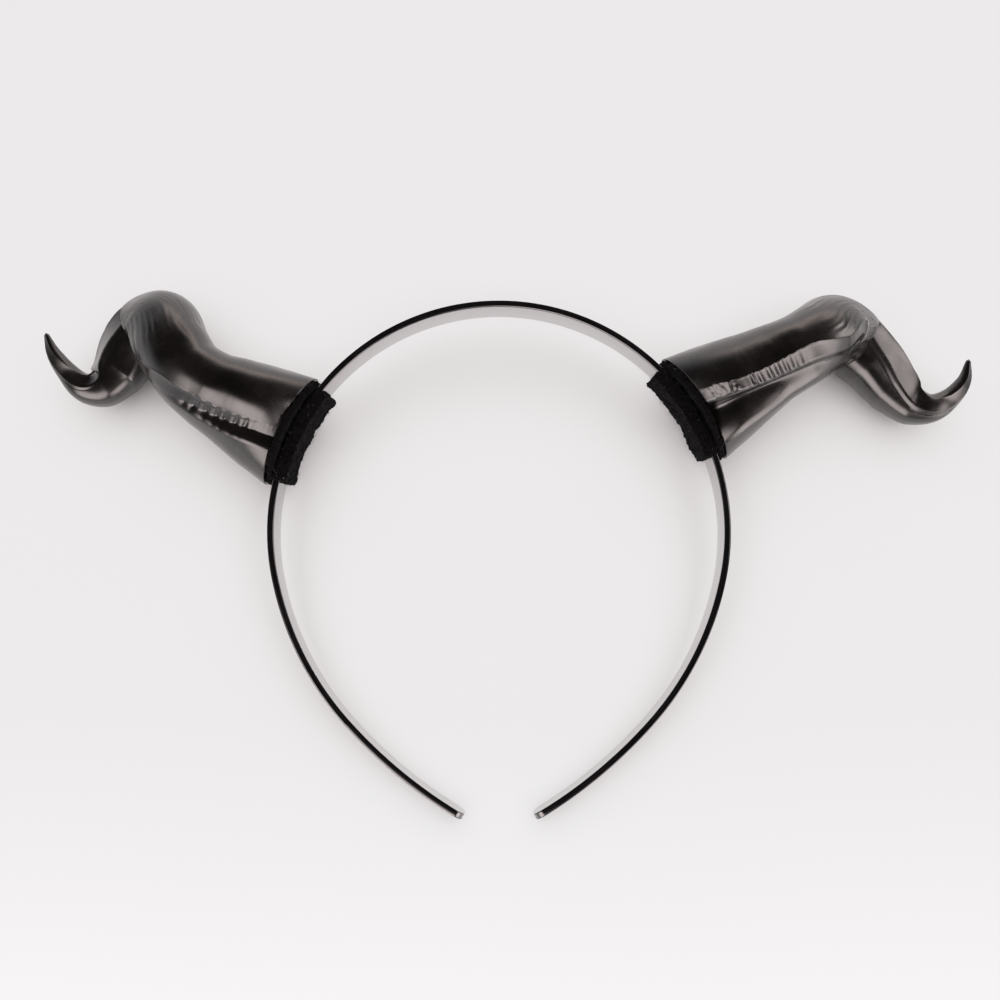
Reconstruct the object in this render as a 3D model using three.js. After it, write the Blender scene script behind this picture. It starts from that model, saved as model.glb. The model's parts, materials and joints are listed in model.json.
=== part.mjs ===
// Demon horns headpiece: a springy plastic headband with a pair of hollow, twisted vinyl horns.
// Each horn is glued over the band on a felt sandwich: one pad under the horn and one against the head.
// Millimetres, +Z up. The headpiece lies on a table, front up, on the backs of both horns and the leg ends.
import * as THREE from "three";
import { mergeVertices } from "three/addons/utils/BufferGeometryUtils.js";

const rad = THREE.MathUtils.degToRad;

// Headband: a strip on edge, whose middle line is three tangent arcs on each side.
const BAND_THICK = 1.8;
const CROWN_WIDE = 14; // the strip's width over the crown, at its sides and at the leg ends
const SIDE_WIDE = 11;
const LEG_WIDE = 8;
const CROWN_RADIUS = 59.5;
const CROWN_HALF_SWEEP = 101;
const FLANK_RADIUS = 80;
const FLANK_SWEEP = 31;
const LEG_RADIUS = 125;
const LEG_SWEEP = 17.8;
const CROWN_STEPS = 41; // an odd number, so that one flat facet lies across the top of the head
const FLANK_STEPS = 6;
const LEG_STEPS = 7;
const SIDE_SHARE = 0.55; // where the side's width is reached, as a share of the way from top to leg end
const LEG_END_ROUND = 5; // length over which each leg narrows to its rounded end

// Felt pads, and the small gap that each piece keeps to the next.
const GAP = 0.3;
const FELT_THICK = 1.6;
const INNER_PAD_LONG = 26.5;
const INNER_PAD_WIDE = 15.6;
const PAD_SLOT = 13.6; // width of the inner pad's groove for the strip
const OUTER_PAD_LONG = 29;
const OUTER_PAD_WIDE = 25;
const OUTER_PAD_BLUNT = 0.35; // width of the pad's cut ends, as a share of its full width
const PAD_STEPS = 10;

// Horns: hollow vinyl, open at the base, each on its own seat round the crown.
const HORN_WALL = 1.5;
const SEAT_RADIUS = CROWN_RADIUS + BAND_THICK / 2 + FELT_THICK + 2 * GAP;
const SEAT_SADDLE = 0.75; // how far the rim follows the band's curve: 0 is a flat rim, 1 a full saddle
const SEAT_BLEND = 16; // length over which the seat's saddle fades out of the horn
const BASE_FLATTEN = 0.82; // the base is an oval, narrower from front to back
// fold is how far the crease under the keel gapes, as a share of its full depth.
const HORNS = [
  { side: "Right", mirror: 1, seatAngle: 32.2, stretch: 1, fold: 1 },
  { side: "Left", mirror: -1, seatAngle: 25.7, stretch: 1.025, fold: 0.15 },
];

// One row for each section of a horn, from the base to the tip.
// along is out from the seat and radius the section's own. A ribbon-edged keel winds round the horn:
// ribbon is its width and crease the depth of the fold under it.
// square is how far the face between front and below is squared, with 0 for round.
// rings is how many rings the loft has from this section to the next.
// The rest is for the right and then the left horn: up and front place the section's middle, lip turns its
// keel from the front towards below, and keel is the keel's height, under 0 where it is pressed flat.
const COLUMNS = ["along", "radius", "ribbon", "crease", "square", "rings",
  "upRight", "frontRight", "lipRight", "keelRight", "upLeft", "frontLeft", "lipLeft", "keelLeft"];
const HORN_SECTIONS = [
  [0, 15.6, 3.4, 6.5, 0, 2, 0, 0, 2, 0.5, 0, 0, 16, -2.9],
  [6, 14.3, 3.2, 5.4, 0, 3, -0.3, 1.5, 6, 0.9, 0.2, 1.2, 22, -2.8],
  [14.5, 12.2, 2.9, 4.0, 0, 5, -0.8, 3.5, 13, 1.1, 0.5, 2.6, 35, -2.3],
  [21.5, 10.6, 3.2, 2.6, 0, 6, -1.2, 4.8, 20, 1.2, 0.7, 3.4, 41, -1.4],
  [28.5, 9.8, 3.9, 1.7, 0, 4, -1.9, 5.2, 24.5, 1.3, 2.2, 3.4, 53, -0.4],
  [35.5, 9.8, 2.9, 1.0, 0, 4, -2.0, 3.2, 37, 1.3, 6.3, 1.4, 78, 0.5],
  [41.8, 10.0, 2.8, 0.6, 0.2, 4, -2.2, -2.8, 21, 1.3, 10.4, -4.0, 50, 1.0],
  [46.0, 9.2, 3.8, 0.4, 0.6, 4, -7, -8.6, -20, 1.2, 8.4, -8.8, -22, 1.2],
  [47.8, 8.2, 6.4, 0.3, 1.0, 4, -15.5, -8.0, -11, 1.0, 1.2, -8.3, -34, 1.0],
  [48.3, 7.0, 7.2, 0.3, 1.0, 3, -24, -6.8, -3, 0.9, -6.4, -7.0, -40, 0.9],
  [49.8, 5.4, 6.2, 0.2, 0.8, 3, -30.4, -5.0, 6, 0.7, -11.4, -5.2, -26, 0.7],
  [53.5, 3.9, 4.2, 0.1, 0.4, 3, -33.7, -3.4, 25, 0.5, -13.3, -3.6, 2, 0.5],
  [58.8, 2.8, 2.9, 0.1, 0, 3, -34, -2.3, 45, 0.4, -11.6, -2.6, 30, 0.4],
  [64, 1.9, 1.9, 0, 0, 3, -32, -1.3, 58, 0.3, -8.6, -1.6, 50, 0.3],
  [67.6, 0.7, 0.6, 0, 0, 0, -28.2, -0.5, 64, 0.1, -5, -0.8, 58, 0.1],
].map((row) => Object.fromEntries(COLUMNS.map((name, i) => [name, row[i]])));
const HOLLOW_SECTIONS = 11; // the hollow reaches this many sections up the horn
const TIP_LENGTH = 0.6;
const BEND_STEP = 0.035; // how far to each side a bend is measured, as a share of the horn's sections
const PINCH = 0.92; // the inside of a bend is pressed in to this share of the bend's radius
const PINCH_EASE = 6; // how suddenly it is pressed in: the higher, the harder the edge

// Angles round a horn's section from the keel's lip: the ribbon lies before 0, the crease after it.
const RIBBON_MIDDLE = 0.5;
const LIP_SHARE = 0.25; // the lip's height, as a share of the keel's
const PRESSED_LIP_SHARE = 1.15; // the same where the keel is pressed flat
const UPPER_BLEND = 75; // degrees over which the keel rises out of the upper face
const CREASE_ANGLE = 14;
const LOWER_BLEND = 38; // degrees over which the lower face comes out of the crease
const ROUND_POINTS = 24;

// Laying down on the table: a first tilt, legs down, and the number of turns that settle it.
const FIRST_TILT = 5;
const LAYING_STEPS = 8;

const vinyl = new THREE.MeshStandardMaterial({ color: 0x141213, roughness: 0.28, metalness: 0 });
const plastic = new THREE.MeshStandardMaterial({ color: 0x0d0c0d, roughness: 0.12, metalness: 0 });
const felt = new THREE.MeshStandardMaterial({ color: 0x0b0a0a, roughness: 0.95, metalness: 0 });

// A closed skin through rings of equal point counts, with a point at each end.
function loft(rings, startPoint, endPoint) {
  const count = rings[0].length;
  const positions = [...rings.flat(), startPoint, endPoint].flatMap((p) => [p.x, p.y, p.z]);
  const start = rings.length * count;
  const end = start + 1;
  const faces = [];
  rings.forEach((_, i) => {
    for (let j = 0; j < count; j++) {
      const a = i * count + j;
      const b = i * count + ((j + 1) % count);
      if (i === 0) faces.push(start, b, a);
      if (i === rings.length - 1) faces.push(end, a, b);
      else faces.push(a, b, b + count, a, b + count, a + count);
    }
  });
  const geometry = new THREE.BufferGeometry();
  geometry.setAttribute("position", new THREE.Float32BufferAttribute(positions, 3));
  geometry.setIndex(faces);
  return outward(mergeVertices(geometry, 1e-4));
}

function middleOf(ring) {
  return ring.reduce((sum, p) => sum.add(p), new THREE.Vector3()).divideScalar(ring.length);
}

// Turns a skin's faces round where they look inwards, which its signed volume tells.
function outward(geometry) {
  const index = geometry.getIndex().array;
  const corner = (i) => new THREE.Vector3().fromBufferAttribute(geometry.getAttribute("position"), index[i]);
  let volume = 0;
  for (let i = 0; i < index.length; i += 3) volume += corner(i).dot(corner(i + 1).cross(corner(i + 2)));
  if (volume > 0) return geometry;
  for (let i = 0; i < index.length; i += 3) [index[i + 1], index[i + 2]] = [index[i + 2], index[i + 1]];
  return geometry;
}

// The band's middle line, from the left leg's end over the crown to the right leg's end.
function bandLine() {
  const half = [];
  let angle = 90;
  let centre = new THREE.Vector2(0, 0);
  let radius = CROWN_RADIUS;
  const arcTo = (sweep, steps, first) => {
    for (let i = first; i <= steps; i++) {
      const at = rad(angle - (sweep * i) / steps);
      const out = new THREE.Vector2(Math.cos(at), Math.sin(at));
      half.push({ at, point: out.multiplyScalar(radius).add(centre) });
    }
    angle -= sweep;
  };
  const nextArc = (newRadius) => {
    const out = new THREE.Vector2(Math.cos(rad(angle)), Math.sin(rad(angle)));
    centre = centre.clone().addScaledVector(out, radius - newRadius);
    radius = newRadius;
  };
  const facet = (2 * CROWN_HALF_SWEEP) / CROWN_STEPS;
  angle -= facet / 2;
  arcTo(CROWN_HALF_SWEEP - facet / 2, (CROWN_STEPS - 1) / 2, 0);
  nextArc(FLANK_RADIUS);
  arcTo(FLANK_SWEEP, FLANK_STEPS, 1);
  nextArc(LEG_RADIUS);
  arcTo(LEG_SWEEP, LEG_STEPS, 1);
  const mirrored = ({ at, point }) => ({ at: Math.PI - at, point: new THREE.Vector2(-point.x, point.y) });
  return [...half.map(mirrored).reverse(), ...half];
}

// The strip's section: flat faces with rounded edges, as shares of half the thickness and half the width.
const BAND_SECTION = [[-1, -0.9], [-1, 0.9], [-0.62, 0.97], [0, 1], [0.62, 0.97],
  [1, 0.9], [1, -0.9], [0.62, -0.97], [0, -1], [-0.62, -0.97]];

// The strip's width at a share of the way from the top of the crown to a leg's end: widest at the top.
function bandWide(share) {
  const side = Math.min(1, share / SIDE_SHARE);
  const leg = Math.max(0, (share - SIDE_SHARE) / (1 - SIDE_SHARE));
  return CROWN_WIDE + (SIDE_WIDE - CROWN_WIDE) * side * side + (LEG_WIDE - SIDE_WIDE) * leg;
}

function headband() {
  const line = bandLine();
  const travelled = line.map(() => 0);
  for (let i = 1; i < line.length; i++) {
    travelled[i] = travelled[i - 1] + line[i].point.distanceTo(line[i - 1].point);
  }
  const total = travelled.at(-1);
  const rings = line.map(({ at, point }, i) => {
    const fromEnd = Math.min(travelled[i], total - travelled[i]);
    const short = Math.max(0, 1 - fromEnd / LEG_END_ROUND);
    const narrow = Math.sqrt(1 - 0.75 * short * short);
    const wide = bandWide(Math.abs(2 * travelled[i] / total - 1));
    return BAND_SECTION.map(([out, edge]) => new THREE.Vector3(
      point.x + Math.cos(at) * out * narrow * BAND_THICK / 2,
      point.y + Math.sin(at) * out * narrow * BAND_THICK / 2,
      edge * narrow * wide / 2,
    ));
  });
  return loft(rings, middleOf(rings[0]), middleOf(rings.at(-1)));
}

// A point near the crown: degrees round from +X, distance from the crown's centre, and height along Z.
function roundCrown(degrees, radius, z) {
  return new THREE.Vector3(radius * Math.cos(rad(degrees)), radius * Math.sin(rad(degrees)), z);
}

// The inner pad hugs the band's inside, and its two long edges wrap past the strip's edges to the outer pad.
function innerPad(seatAngle) {
  const inside = CROWN_RADIUS - BAND_THICK / 2 - GAP;
  const wrap = CROWN_RADIUS + BAND_THICK / 2;
  const slot = PAD_SLOT / 2;
  const edge = INNER_PAD_WIDE / 2;
  const section = [[inside - FELT_THICK, -edge], [inside - FELT_THICK, edge], [wrap, edge], [wrap, slot],
    [inside, slot], [inside, -slot], [wrap, -slot], [wrap, -edge]];
  const halfAngle = THREE.MathUtils.radToDeg(INNER_PAD_LONG / 2 / CROWN_RADIUS);
  const rings = Array.from({ length: PAD_STEPS + 1 }, (_, i) => {
    const degrees = seatAngle + halfAngle * (1 - (2 * i) / PAD_STEPS);
    return section.map(([radius, z]) => roundCrown(degrees, radius, z));
  });
  const capAt = (ring) => ring[0].clone().lerp(ring[5], 0.5).lerp(ring[1].clone().lerp(ring[4], 0.5), 0.5);
  return loft(rings, capAt(rings[0]), capAt(rings.at(-1)));
}

// The outer pad is an oval that lies between the band and the horn's open base.
function outerPad(seatAngle) {
  const inside = CROWN_RADIUS + BAND_THICK / 2 + GAP;
  const halfAngle = THREE.MathUtils.radToDeg(OUTER_PAD_LONG / 2 / CROWN_RADIUS);
  const rings = Array.from({ length: PAD_STEPS + 1 }, (_, i) => {
    const share = 1 - (2 * i) / PAD_STEPS;
    const wide = (OUTER_PAD_WIDE / 2) * Math.sqrt(1 - (1 - OUTER_PAD_BLUNT ** 2) * share * share);
    const degrees = seatAngle + halfAngle * share;
    return [[inside, -wide], [inside, wide], [inside + FELT_THICK, wide], [inside + FELT_THICK, -wide]]
      .map(([radius, z]) => roundCrown(degrees, radius, z));
  });
  return loft(rings, middleOf(rings[0]), middleOf(rings.at(-1)));
}

// Angles round a section, in degrees from the lip, and which of the keel's stretches each one is on.
function sectionAngles(ribbonAngle) {
  const below = [0, CREASE_ANGLE * 0.5, CREASE_ANGLE];
  const above = [-ribbonAngle, -ribbonAngle * RIBBON_MIDDLE];
  const from = CREASE_ANGLE;
  const span = 360 - ribbonAngle - from;
  const round = Array.from({ length: ROUND_POINTS }, (_, i) => from + (span * (i + 1)) / (ROUND_POINTS + 1));
  return [...below, ...round, ...above.map((a) => a + 360)];
}

// Distance of a section's skin from its middle, at an angle from the lip.
// The ribbon is flat, so it is the straight line from the keel's crest to the lip.
function skinRadius(angle, ribbonAngle, s) {
  const ease = (x) => x * x * (3 - 2 * x);
  const front = Math.max(0, Math.cos(rad(angle + s.lip)));
  const below = Math.max(0, Math.sin(rad(angle + s.lip)));
  const corner = front * below > 0 ? (front ** 3 + below ** 3) ** (-1 / 3) : 1;
  const aboveRibbon = 360 - ribbonAngle - angle;
  const crest = s.radius + s.keel;
  const lip = s.radius + s.keel * (s.keel < 0 ? PRESSED_LIP_SHARE : LIP_SHARE);
  if (aboveRibbon <= 0) {
    const across = rad(-aboveRibbon);
    const rest = rad(ribbonAngle) - across;
    return (crest * lip * Math.sin(across + rest)) / (lip * Math.sin(rest) + crest * Math.sin(across));
  }
  if (angle <= CREASE_ANGLE) return THREE.MathUtils.lerp(lip, s.radius - s.crease, angle / CREASE_ANGLE);
  const rise = Math.max(0, 1 - aboveRibbon / UPPER_BLEND);
  const dip = Math.max(0, 1 - (angle - CREASE_ANGLE) / LOWER_BLEND);
  const round = s.radius * THREE.MathUtils.lerp(1, corner, s.square);
  return round + s.keel * rise * rise - s.crease * ease(dip);
}

function horn({ side, mirror, stretch, fold }) {
  const [up, front, lipOf, keelOf] = ["up", "front", "lip", "keel"].map((name) => name + side);
  const pointsOf = (rowOf) => HORN_SECTIONS.map((s) => new THREE.Vector3(...rowOf(s)));
  const smooth = (rowOf) => new THREE.CatmullRomCurve3(pointsOf(rowOf));
  const centres = smooth((s) => [s.along * stretch, s[up], s[front]]);
  const sizes = smooth((s) => [s.radius, s.ribbon, s[lipOf]]);
  const folds = smooth((s) => [s[keelOf], s.crease, s.square]);
  const last = HORN_SECTIONS.length - 1;

  // How sharply the middle line bends at t, as a vector to the inside of the bend: 1 over the bend's radius.
  const bendAt = (t) => {
    const [from, to] = [Math.max(0, t - BEND_STEP), Math.min(1, t + BEND_STEP)];
    const way = centres.getPoint(to).distanceTo(centres.getPoint(from));
    return centres.getTangent(to).sub(centres.getTangent(from)).divideScalar(way);
  };

  const ringAt = (station, wall) => {
    const t = station / last;
    const middle = centres.getPoint(t);
    const ahead = centres.getTangent(t);
    const facing = new THREE.Vector3(0, 0, 1).addScaledVector(ahead, -ahead.z).normalize();
    const below = ahead.clone().cross(facing);
    const { x: radius, y: ribbon, z: lip } = sizes.getPoint(t);
    const { x: keel, y: depth, z: square } = folds.getPoint(t);
    const s = { radius, ribbon, lip, keel, crease: depth * fold, square };
    const bend = bendAt(t);
    const ribbonAngle = THREE.MathUtils.radToDeg(ribbon / radius);
    const seated = Math.max(0, 1 - middle.x / SEAT_BLEND) ** 2;
    const flat = THREE.MathUtils.lerp(1, BASE_FLATTEN, seated);
    return sectionAngles(ribbonAngle).map((angle) => {
      const turn = rad(angle + lip);
      const out = facing.clone().multiplyScalar(Math.cos(turn) * flat).addScaledVector(below, Math.sin(turn));
      const room = PINCH / Math.max(bend.dot(out), 0.01);
      const free = skinRadius(angle, ribbonAngle, s);
      const reach = free / (1 + (free / room) ** PINCH_EASE) ** (1 / PINCH_EASE) - wall;
      const point = middle.clone().addScaledVector(out, reach);
      const saddle = middle.x - (SEAT_SADDLE * point.y * point.y) / (2 * SEAT_RADIUS);
      point.x = THREE.MathUtils.lerp(point.x, saddle, seated);
      return point;
    });
  };

  const stepsFrom = ({ rings }, i) => Array.from({ length: rings }, (_, k) => i + k / rings);
  const stations = [...HORN_SECTIONS.flatMap(stepsFrom), last];
  const outside = stations.map((station) => ringAt(station, 0));
  const inside = Array.from({ length: HOLLOW_SECTIONS }, (_, i) => ringAt(i, HORN_WALL));
  const tip = centres.getPoint(1).addScaledVector(centres.getTangent(1), TIP_LENGTH);
  const geometry = loft([...outside.reverse(), ...inside], tip, middleOf(inside.at(-1)));
  geometry.scale(mirror, 1, 1);
  return outward(geometry);
}

function named(name, geometry, material) {
  const mesh = new THREE.Mesh(geometry, material);
  mesh.name = name;
  return mesh;
}

const headpiece = new THREE.Group();
headpiece.add(named("headband", headband(), plastic));
for (const one of HORNS) {
  const side = one.side.toLowerCase();
  const degrees = one.mirror > 0 ? one.seatAngle : 180 - one.seatAngle;
  headpiece.add(named("felt_inner_" + side, innerPad(degrees), felt));
  headpiece.add(named("felt_outer_" + side, outerPad(degrees), felt));
  const mesh = named("horn_" + side, horn(one), vinyl);
  mesh.rotation.z = rad(one.seatAngle) * one.mirror;
  mesh.position.copy(roundCrown(degrees, SEAT_RADIUS, 0));
  headpiece.add(mesh);
}

// Lays the headpiece down: turned until both horns and the lower leg end touch one level, the table's.
function layDown(group) {
  const lowest = (name) => {
    const mesh = group.getObjectByName(name);
    const points = mesh.geometry.getAttribute("position");
    let low = new THREE.Vector3(0, 0, Infinity);
    for (let i = 0; i < points.count; i++) {
      const point = mesh.localToWorld(new THREE.Vector3().fromBufferAttribute(points, i));
      if (point.z < low.z) low = point;
    }
    return low;
  };
  for (let i = 0; i < LAYING_STEPS; i++) {
    group.updateMatrixWorld(true);
    const [right, left, leg] = ["horn_right", "horn_left", "headband"].map(lowest);
    const level = right.sub(leg).cross(left.sub(leg)).normalize();
    group.applyQuaternion(new THREE.Quaternion().setFromUnitVectors(level, new THREE.Vector3(0, 0, 1)));
  }
  const box = new THREE.Box3().setFromObject(group, true);
  const middle = box.getCenter(new THREE.Vector3());
  group.position.sub(new THREE.Vector3(middle.x, middle.y, box.min.z));
}

const part = new THREE.Group();
part.add(headpiece);
headpiece.rotation.x = rad(FIRST_TILT);
layDown(headpiece);

export default part;
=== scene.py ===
# %% [markdown]
# # Demon horns on a headband
# The headpiece lies on a table, front up: a springy plastic headband and two hollow vinyl horns on felt
# pads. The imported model, called the frame here, fixes where everything is. This lesson gives it its looks.
# Most sizes are in millimetres times MM, because Blender counts in metres. The cells on the horns count in
# plain millimetres, those on the table and the lights in metres.

# %% Load the frame
import json
import math
import random

import bpy
import numpy as np
from mathutils import Matrix, Vector, noise


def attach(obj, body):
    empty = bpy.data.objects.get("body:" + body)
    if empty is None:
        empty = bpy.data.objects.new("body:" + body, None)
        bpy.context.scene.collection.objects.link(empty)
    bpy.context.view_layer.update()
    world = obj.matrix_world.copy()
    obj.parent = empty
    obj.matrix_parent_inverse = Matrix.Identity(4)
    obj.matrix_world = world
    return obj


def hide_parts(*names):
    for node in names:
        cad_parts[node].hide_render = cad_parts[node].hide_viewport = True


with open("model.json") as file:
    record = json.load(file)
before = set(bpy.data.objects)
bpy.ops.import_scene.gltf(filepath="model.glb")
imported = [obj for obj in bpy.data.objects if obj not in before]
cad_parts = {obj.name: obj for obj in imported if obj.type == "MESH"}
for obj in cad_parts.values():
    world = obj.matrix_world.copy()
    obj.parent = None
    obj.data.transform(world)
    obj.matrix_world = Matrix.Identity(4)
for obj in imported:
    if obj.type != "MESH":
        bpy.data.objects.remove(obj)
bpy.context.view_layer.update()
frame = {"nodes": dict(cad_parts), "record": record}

MM = 0.001

# %% [markdown]
# ## How the headpiece lies
# It is easiest to model a headband upright in its own axes: the crown's centre at the origin, the crown
# towards +Y. The real one lies tilted by a few degrees, because it rests on the backs of the horns and the
# ends of the legs. The frame tells that tilt: one mount is the inside of the crown, and the band's points
# lie in one flat layer. A matrix made from these two then lays each finished mesh down.

# %% The matrix that lays it down
CROWN_RADIUS = 59.5 * MM
BAND_THICK = 1.8 * MM
CROWN_FACET = 202 / 41  # degrees of the crown that the mount's flat facet spans

crown_inside = frame["record"]["mounts"][0]
band_points = np.array([v.co for v in frame["nodes"]["headband"].data.vertices])
thinnest = np.linalg.eigh(np.cov(band_points.T))[1][:, 0]
up = Vector(thinnest) * math.copysign(1, thinnest[2])
back = -Vector(crown_inside["axis"]).normalized()
side = back.cross(up).normalized()
up = side.cross(back)
facet_depth = (CROWN_RADIUS - BAND_THICK / 2) * math.cos(math.radians(CROWN_FACET / 2))
crown_centre = Vector(crown_inside["pos_m"]) - back * facet_depth
lying = Matrix.Translation(crown_centre) @ Matrix((side, back, up)).transposed().to_4x4()
print("tilt about X:", round(math.degrees(lying.to_euler().x), 2), "degrees")

# %% [markdown]
# ## Camera
# The photograph looks almost straight down, a little from the legs' side. Its place was found in the
# headpiece's own axes by laying the model over the picture, so the same matrix takes it to the table.

# %% Camera
CAMERA_PLACE = Vector((0.25, -12.6, 342.9)) * MM
CAMERA_TILT = math.radians(3.5)
CAMERA_LENS, CAMERA_SENSOR = 46.73, 36  # mm
CAMERA_NEAREST = 10 * MM

camera_data = bpy.data.cameras.new("photo_camera")
camera_data.lens = CAMERA_LENS
camera_data.sensor_width = CAMERA_SENSOR
camera_data.clip_start = CAMERA_NEAREST
camera = bpy.data.objects.new("photo_camera", camera_data)
bpy.context.scene.collection.objects.link(camera)
camera.matrix_world = lying @ Matrix.Translation(CAMERA_PLACE) @ Matrix.Rotation(CAMERA_TILT, 4, "X")
bpy.context.scene.camera = camera
print("camera stands", round(camera.location.z / MM), "mm above the table")

# %% [markdown]
# ## Helpers for every piece
# Operators act on what is selected, so each step starts by selecting one piece and nothing else. A finished
# piece gets smooth shading and its material, and rides on the headpiece's only body.

# %% Helpers for every piece
def start_on(piece):
    if bpy.context.object and bpy.context.object.mode != "OBJECT":
        bpy.ops.object.mode_set(mode="OBJECT")
    bpy.ops.object.select_all(action="DESELECT")
    if piece:
        piece.select_set(True)
        bpy.context.view_layer.objects.active = piece


def close_up(piece, weld):
    """Welds points that lie together and turns all faces outwards."""
    start_on(piece)
    bpy.ops.object.mode_set(mode="EDIT")
    bpy.ops.mesh.select_all(action="SELECT")
    bpy.ops.mesh.remove_doubles(threshold=weld)
    bpy.ops.mesh.normals_make_consistent(inside=False)
    bpy.ops.object.mode_set(mode="OBJECT")


def finish_piece(piece, material, slot, *nodes, sharp=180):
    start_on(piece)
    bpy.ops.object.shade_smooth_by_angle(angle=math.radians(sharp))
    piece.data.materials.clear()
    piece.data.materials.append(material)
    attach(piece, "root")
    if nodes:
        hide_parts(*nodes)
    print(piece.name, "has", len(piece.data.polygons), "faces")


# %% [markdown]
# ## Material helpers
# Colours are picked as on a screen, in sRGB hex, and Blender's shaders want them linear, so one function
# turns them. Another small function adds a node: it sets or links each socket that is named. Patterns use
# the object's own coordinates, in metres, so a grain of s millimetres has the scale 1 / (s * MM).

# %% Material helpers
def paint(hex_colour):
    channels = [int(hex_colour[i:i + 2], 16) / 255 for i in (1, 3, 5)]
    linear = [c / 12.92 if c <= 0.04045 else ((c + 0.055) / 1.055) ** 2.4 for c in channels]
    return (*linear, 1.0)


def add_node(tree, kind, sockets, stops=(), **settings):
    node = tree.nodes.new(kind)
    for name, value in settings.items():
        setattr(node, name, value)
    for name, value in sockets.items():
        if isinstance(value, bpy.types.NodeSocket):
            tree.links.new(value, node.inputs[name])
        else:
            node.inputs[name].default_value = value
    for i, (position, colour) in enumerate(stops):
        element = node.color_ramp.elements[i] if i < 2 else node.color_ramp.elements.new(1.0)
        element.position, element.color = position, paint(colour)
    return node


def new_material(name):
    material = bpy.data.materials.new(name)
    material.use_nodes = True
    tree = material.node_tree
    tree.nodes.clear()
    return material, tree, add_node(tree, "ShaderNodeTexCoord", {}).outputs["Object"]


# %% [markdown]
# ## Headband plastic
# Polished black plastic, moulded and lacquered: nearly a mirror for the pale table when seen at a low
# angle, with faint clouding and hair-fine scuffs that only show where a light is reflected. A noise that is
# stretched along the strip's width gives the scuffs.

# %% Headband plastic
plastic, tree, place = new_material("glossy_black_band_plastic")
clouds = add_node(tree, "ShaderNodeTexNoise", {
    "Vector": place, "Scale": 1 / (9 * MM), "Detail": 4}).outputs["Fac"]
stretched = add_node(tree, "ShaderNodeMapping", {
    "Vector": place, "Scale": (1, 1, 0.06)}).outputs["Vector"]
scuffs = add_node(tree, "ShaderNodeTexNoise", {
    "Vector": stretched, "Scale": 1 / (0.4 * MM), "Detail": 4}).outputs["Fac"]
black = add_node(tree, "ShaderNodeValToRGB", {"Fac": clouds}, [(0.3, "#070607"), (0.7, "#0d0b0c")])
polish = add_node(tree, "ShaderNodeMapRange", {"Value": clouds, "From Min": 0.3, "From Max": 0.7,
                                               "To Min": 0.05, "To Max": 0.12})
wavy = add_node(tree, "ShaderNodeBump", {"Height": clouds, "Distance": 0.05 * MM, "Strength": 0.12})
scuffed = add_node(tree, "ShaderNodeBump", {"Height": scuffs, "Distance": 0.01 * MM, "Strength": 0.15,
                                            "Normal": wavy.outputs["Normal"]})
shader = add_node(tree, "ShaderNodeBsdfPrincipled", {
    "Base Color": black.outputs["Color"], "Roughness": polish.outputs["Result"], "IOR": 1.54,
    "Coat Weight": 1, "Coat Roughness": 0.04, "Normal": scuffed.outputs["Normal"]})
add_node(tree, "ShaderNodeOutputMaterial", {"Surface": shader.outputs["BSDF"]})
print(plastic.name, "has", len(tree.nodes), "nodes")

# %% [markdown]
# ## Horn vinyl
# Soft black vinyl from a mould: satin to glossy, a little brown where light goes into it, with a fine skin
# like that of a balloon. Roughness varies in patches, which makes the edges of broad reflections fuzzy. The
# skin's grain is drawn about half a millimetre wide, coarser than the real one, because a finer grain
# wouldn't show at this distance.

# %% Horn vinyl
vinyl, tree, place = new_material("satin_black_horn_vinyl")
patches = add_node(tree, "ShaderNodeTexNoise", {
    "Vector": place, "Scale": 1 / (7 * MM), "Detail": 3}).outputs["Fac"]
specks = add_node(tree, "ShaderNodeTexNoise", {
    "Vector": place, "Scale": 1 / (1.3 * MM), "Detail": 2}).outputs["Fac"]
skin = add_node(tree, "ShaderNodeTexNoise", {
    "Vector": place, "Scale": 1 / (0.55 * MM), "Detail": 3}).outputs["Fac"]
black = add_node(tree, "ShaderNodeValToRGB", {"Fac": patches}, [(0.3, "#050403"), (0.7, "#0a0706")])
satin = add_node(tree, "ShaderNodeMapRange", {"Value": patches, "From Min": 0.3, "From Max": 0.7,
                                              "To Min": 0.2, "To Max": 0.31})
uneven = add_node(tree, "ShaderNodeBump", {"Height": patches, "Distance": 0.25 * MM, "Strength": 0.2})
pitted = add_node(tree, "ShaderNodeBump", {"Height": specks, "Distance": 0.06 * MM, "Strength": 0.16,
                                           "Normal": uneven.outputs["Normal"]})
grained = add_node(tree, "ShaderNodeBump", {"Height": skin, "Distance": 0.02 * MM, "Strength": 0.2,
                                            "Normal": pitted.outputs["Normal"]})
shader = add_node(tree, "ShaderNodeBsdfPrincipled", {
    "Base Color": black.outputs["Color"], "Roughness": satin.outputs["Result"], "IOR": 1.53,
    "Specular IOR Level": 0.65, "Normal": grained.outputs["Normal"]})
add_node(tree, "ShaderNodeOutputMaterial", {"Surface": shader.outputs["BSDF"]})
print(vinyl.name, "has", len(tree.nodes), "nodes")
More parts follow.
